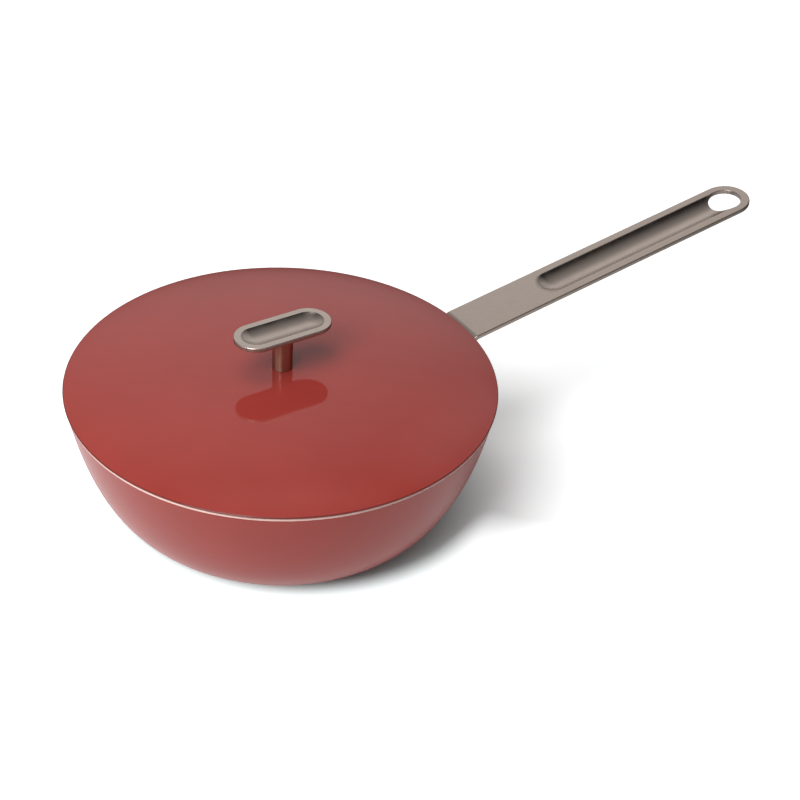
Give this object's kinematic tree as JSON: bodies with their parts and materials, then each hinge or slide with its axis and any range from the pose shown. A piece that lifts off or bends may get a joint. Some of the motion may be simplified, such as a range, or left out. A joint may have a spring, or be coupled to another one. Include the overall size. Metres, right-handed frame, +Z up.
{
  "type": "wok with lid",
  "caption": "Flat-based wok with curved coated sides, a long riveted bar handle with a hanging hole, and a shallow domed lift-off lid with a dished bar knob.",
  "frame": {"origin": "middle of the base plate's resting face, on the bowl's axis", "axes": "+Z up along the bowl's axis, +X out along the handle, +Y to the left seen along the handle"},
  "size_m": [0.4956, 0.262, 0.1247],
  "materials": {
    "bowl_coating": "satin red coating over aluminium, bare at the rim",
    "lid_enamel": "gloss red enamel over steel",
    "cast_steel": "satin, fine blasted",
    "bright_steel": "satin, turned",
    "rivet_metal": "satin",
    "seal_rubber": "matte"
  },
  "bodies": {
    "pan": {"pan_bowl": "bowl_coating", "base_plate": "bright_steel", "handle": "cast_steel", "rivet_upper_left": "rivet_metal", "rivet_upper_right": "rivet_metal", "rivet_lower": "rivet_metal"},
    "lid": {"lid_cover": "lid_enamel", "lid_locating_ring": "bright_steel", "knob_grip": "cast_steel", "knob_post": "bright_steel", "knob_seal": "seal_rubber", "knob_washer": "bright_steel", "knob_spring_washer": "bright_steel", "knob_screw": "bright_steel"}
  },
  "joints": [
    {"name": "lid_lift", "type": "slide", "parent": "pan", "child": "lid", "axis": [0, 0, 1], "range_m": [0, 0.15]}
  ]
}
